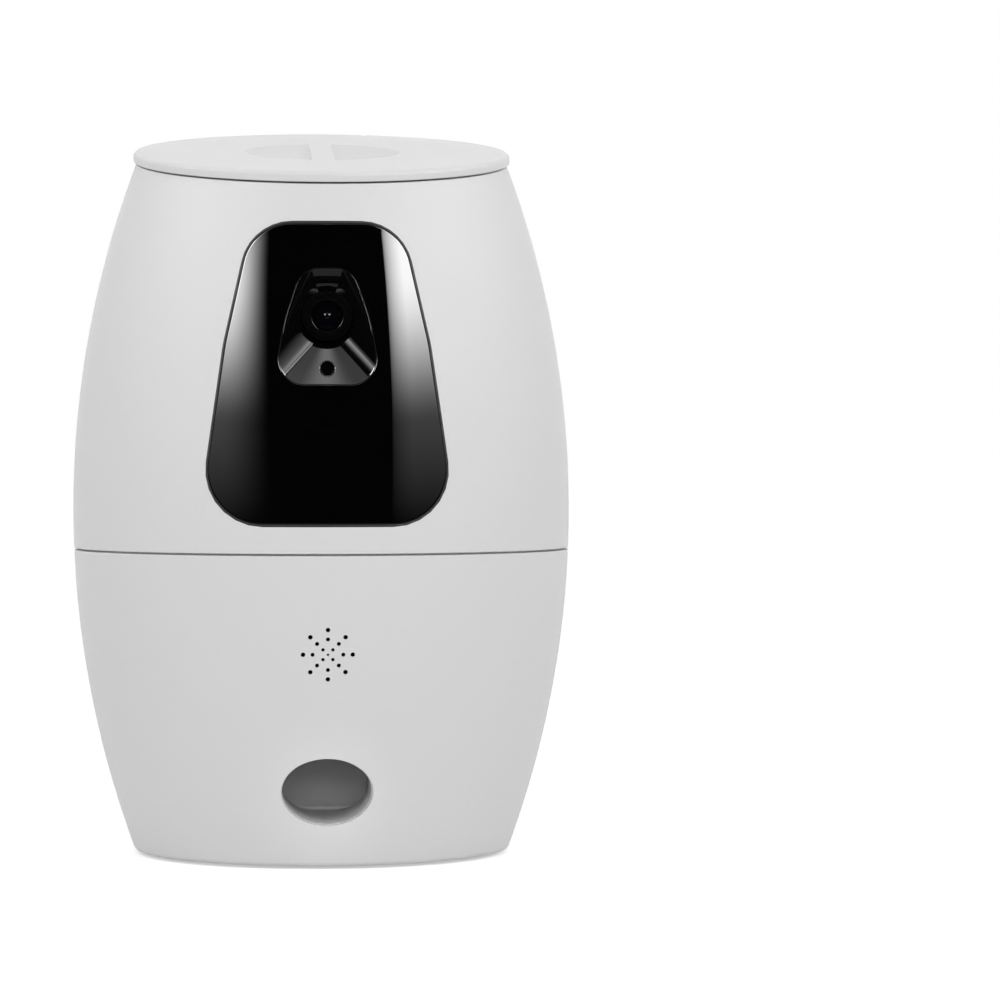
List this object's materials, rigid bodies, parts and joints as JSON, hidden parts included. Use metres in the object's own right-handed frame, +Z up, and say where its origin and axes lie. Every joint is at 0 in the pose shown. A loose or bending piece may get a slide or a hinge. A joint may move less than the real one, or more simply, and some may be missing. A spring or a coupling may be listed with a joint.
{
  "type": "treat tossing pet camera",
  "caption": "Barrel shaped pet camera with a tilted lift-off lid, a dark camera window, a speaker grille and a treat outlet, with the hopper, star wheel and spring driven throwing arm inside.",
  "frame": {"origin": "middle of the footprint on the floor", "axes": "+Z up, -Y towards the front with the lens and the outlet, +X to the right seen from the front"},
  "size_m": [0.165, 0.165, 0.2428],
  "materials": {
    "shell_white": "fine matte moulded",
    "lid_white": "fine matte moulded",
    "window_black": "high gloss",
    "trim_grey": "satin",
    "hood_black": "gloss",
    "lens_black": "satin",
    "lens_glass": "coated",
    "board_green": "solder mask",
    "board_black": "matte",
    "led_dark": "clear tinted",
    "inner_white": "moulded",
    "drum_grey": "moulded",
    "gear_cream": "moulded",
    "agitator_grey": "moulded",
    "arm_grey": "moulded",
    "gasket_grey": "soft",
    "foot_rubber": "soft",
    "steel": "plated",
    "motor_steel": "drawn",
    "brass": "turned",
    "speaker_black": "pressed",
    "cable_black": "jacketed"
  },
  "bodies": {
    "casing": {"upper_shell": "shell_white", "lower_shell": "shell_white", "outlet_tunnel": "shell_white", "front_window": "window_black", "window_trim": "trim_grey", "lens_hood": "hood_black", "lens_barrel": "lens_black", "lens_retainer": "lens_black", "lens_glass": "lens_glass", "camera_board": "board_green", "main_board": "board_green", "ir_led_board": "board_black", "board_chips": "board_black", "image_sensor": "board_black", "dc_jack": "board_black", "reset_switch": "board_black", "ir_leds": "led_dark", "base_plate": "inner_white", "hopper": "inner_white", "mechanism_frame": "inner_white", "drum_left": "drum_grey", "drum_right": "drum_grey", "drop_cover": "gear_cream", "rubber_feet": "foot_rubber", "base_screws": "steel", "shell_screws": "steel", "camera_screws": "steel", "frame_screws": "steel", "drum_screws": "steel", "board_screws": "steel", "idler_pin": "steel", "winder_shaft": "steel", "toss_spring": "steel", "gear_bracket": "steel", "wheel_gearbox": "motor_steel", "wheel_motor": "motor_steel", "toss_gearbox": "motor_steel", "toss_motor": "motor_steel", "microphone": "motor_steel", "wheel_bushings": "brass", "toss_bushings": "brass", "speaker_frame": "speaker_black", "speaker_cone": "speaker_black", "camera_cable": "cable_black"},
    "lid": {"lid": "lid_white", "lid_plug": "inner_white", "lid_gasket": "gasket_grey"},
    "star_wheel": {"treat_wheel": "gear_cream", "agitator": "agitator_grey", "wheel_shaft": "steel", "wheel_gear": "gear_cream"},
    "idler": {"idler_gear": "gear_cream"},
    "wheel_drive": {"wheel_pinion": "brass"},
    "winder": {"winder_gear": "gear_cream"},
    "thrower": {"toss_arm": "arm_grey", "toss_shaft": "steel", "arm_gear": "gear_cream"},
    "toss_drive": {"toss_pinion": "brass"},
    "reset": {"reset_button": "inner_white"}
  },
  "joints": [
    {"name": "lid_lift", "type": "slide", "parent": "casing", "child": "lid", "axis": [0, -0.165, 0.9863], "range_m": [0, 0.08]},
    {"name": "wheel_spin", "type": "hinge", "parent": "casing", "child": "star_wheel", "pos_m": [0, 0.002, 0.126], "axis": [0, 0, 1], "continuous": true},
    {"name": "idler_spin", "type": "hinge", "parent": "casing", "child": "idler", "pos_m": [-0.0208, 0.002, 0.111], "axis": [0, 0, 1], "continuous": true},
    {"name": "wheel_drive_spin", "type": "hinge", "parent": "casing", "child": "wheel_drive", "pos_m": [-0.036, 0.002, 0.111], "axis": [0, 0, 1], "continuous": true},
    {"name": "winder_turn", "type": "hinge", "parent": "casing", "child": "winder", "pos_m": [0.027, 0.01655, 0.05821], "axis": [-1, 0, 0], "range_deg": [0, 27.5]},
    {"name": "arm_swing", "type": "hinge", "parent": "casing", "child": "thrower", "pos_m": [0, -0.006, 0.05], "axis": [1, 0, 0], "range_deg": [0, 55], "stiffness_Nm_per_rad": 0.02, "springref_deg": -57.3},
    {"name": "toss_drive_spin", "type": "hinge", "parent": "casing", "child": "toss_drive", "pos_m": [0.027, 0.04455, 0.05821], "axis": [1, 0, 0], "range_deg": [0, 110]},
    {"name": "reset_press", "type": "slide", "parent": "casing", "child": "reset", "axis": [0, -1, 0], "range_m": [0, 0.001], "stiffness_N_per_m": 300, "springref_m": -0.002}
  ],
  "couplings": [
    {"joint": "idler_spin", "follows": "wheel_spin", "ratio": -1.1667},
    {"joint": "wheel_drive_spin", "follows": "wheel_spin", "ratio": 2},
    {"joint": "arm_swing", "follows": "winder_turn", "ratio": 2},
    {"joint": "toss_drive_spin", "follows": "winder_turn", "ratio": 4}
  ]
}
